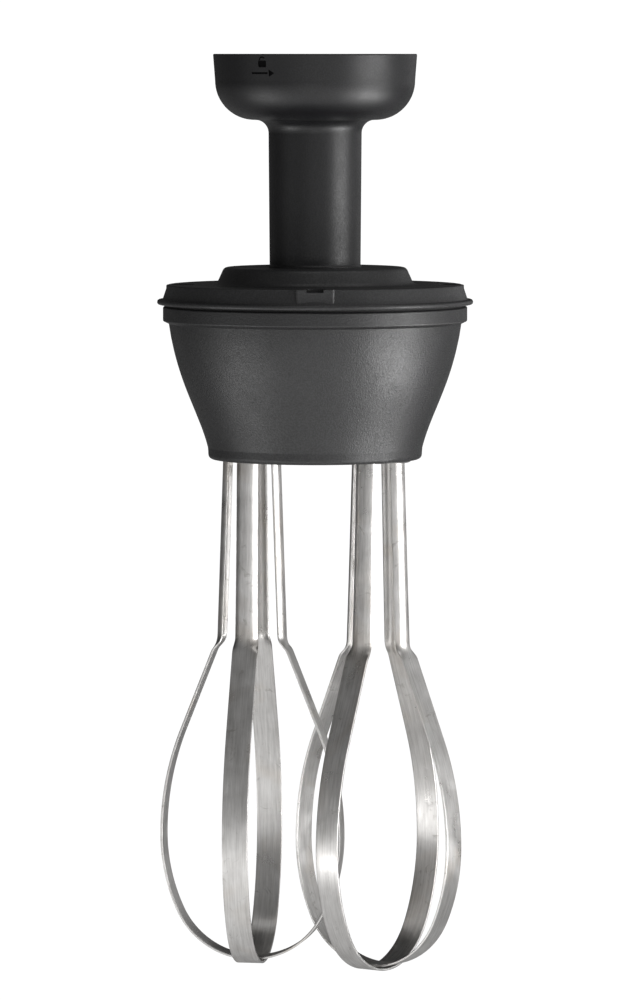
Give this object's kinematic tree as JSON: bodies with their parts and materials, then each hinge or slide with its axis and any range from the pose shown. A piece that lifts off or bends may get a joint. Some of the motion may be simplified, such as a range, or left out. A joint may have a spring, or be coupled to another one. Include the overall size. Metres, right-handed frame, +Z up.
{
  "type": "twin whisk attachment",
  "caption": "Twin counter-rotating strip whisks under a gearbox, with a bayonet bell and drive dog for a handheld motor unit.",
  "frame": {"origin": "centre of the coupling bell's open rim, on the socket's axis", "axes": "+Z up out of the bell along the socket's axis, +X from the left whisk's axis to the right whisk's, -Y to the side that carries the release mark"},
  "size_m": [0.125, 0.125, 0.3641],
  "materials": {
    "black_moulding": "satin black moulded plastic, fine texture",
    "lid_black": "matte black moulded plastic",
    "housing_grey": "dark grey moulded plastic, fine spark texture, satin",
    "gasket_rubber": "black rubber, matte",
    "seal_rubber": "black nitrile rubber, satin lip",
    "whisk_steel": "brushed stainless strip",
    "shaft_steel": "ground steel",
    "screw_steel": "zinc-plated screw steel",
    "bearing_steel": "polished bearing steel",
    "clip_steel": "blackened spring steel",
    "bush_bronze": "sintered bronze",
    "gear_plastic": "natural acetal",
    "gear_steel": "machined steel",
    "plate_aluminium": "machined aluminium plate",
    "dog_plastic": "grey glass-filled nylon"
  },
  "bodies": {
    "gearbox": {"coupling_column": "black_moulding", "column_seal": "seal_rubber", "column_screws": "screw_steel", "input_lip_seal": "seal_rubber", "input_upper_bearing": "bearing_steel", "input_lower_bearing": "bearing_steel", "input_tail_bush": "bush_bronze", "gearbox_lid": "lid_black", "lid_gasket": "gasket_rubber", "lid_screws": "screw_steel", "gearbox_housing": "housing_grey", "bearing_plate": "plate_aluminium", "plate_screws": "screw_steel", "intermediate_upper_bush": "bush_bronze", "intermediate_lower_bush": "bush_bronze", "output_upper_bush_left": "bush_bronze", "output_bearing_left": "bearing_steel", "bearing_retainer_left": "clip_steel", "output_lip_seal_left": "seal_rubber", "output_upper_bush_right": "bush_bronze", "output_bearing_right": "bearing_steel", "bearing_retainer_right": "clip_steel", "output_lip_seal_right": "seal_rubber"},
    "input_drive": {"input_shaft": "shaft_steel", "drive_coupler": "dog_plastic", "coupler_pin": "clip_steel", "input_circlips": "clip_steel", "input_pinion": "gear_steel"},
    "intermediate_drive": {"intermediate_shaft": "shaft_steel", "intermediate_gear": "gear_plastic", "intermediate_pinion": "gear_steel"},
    "drive_left": {"output_shaft_left": "shaft_steel", "output_gear_left": "gear_plastic", "output_circlips_left": "clip_steel", "whisk_detent_left": "clip_steel"},
    "whisk_left": {"whisk_shank_left": "shaft_steel", "whisk_ferrule_left": "shaft_steel", "whisk_outer_loop_left": "whisk_steel", "whisk_inner_loop_left": "whisk_steel"},
    "drive_right": {"output_shaft_right": "shaft_steel", "output_gear_right": "gear_plastic", "output_circlips_right": "clip_steel", "whisk_detent_right": "clip_steel"},
    "whisk_right": {"whisk_shank_right": "shaft_steel", "whisk_ferrule_right": "shaft_steel", "whisk_outer_loop_right": "whisk_steel", "whisk_inner_loop_right": "whisk_steel"}
  },
  "joints": [
    {"name": "left_spin", "type": "hinge", "parent": "gearbox", "child": "drive_left", "pos_m": [-0.025, 0, -0.12], "axis": [0, 0, 1], "continuous": true},
    {"name": "right_spin", "type": "hinge", "parent": "gearbox", "child": "drive_right", "pos_m": [0.025, 0, -0.12], "axis": [0, 0, 1], "continuous": true},
    {"name": "intermediate_spin", "type": "hinge", "parent": "gearbox", "child": "intermediate_drive", "pos_m": [-0.00578, 0.02432, -0.11], "axis": [0, 0, 1], "continuous": true},
    {"name": "input_spin", "type": "hinge", "parent": "gearbox", "child": "input_drive", "pos_m": [0, 0, -0.05], "axis": [0, 0, 1], "continuous": true},
    {"name": "whisk_left_release", "type": "slide", "parent": "drive_left", "child": "whisk_left", "axis": [0, 0, -1], "range_m": [0, 0.045]},
    {"name": "whisk_right_release", "type": "slide", "parent": "drive_right", "child": "whisk_right", "axis": [0, 0, -1], "range_m": [-0.0029, 0.0421]}
  ],
  "couplings": [
    {"joint": "intermediate_spin", "follows": "input_spin", "ratio": -0.25},
    {"joint": "left_spin", "follows": "input_spin", "ratio": 0.06},
    {"joint": "right_spin", "follows": "input_spin", "ratio": -0.06}
  ]
}
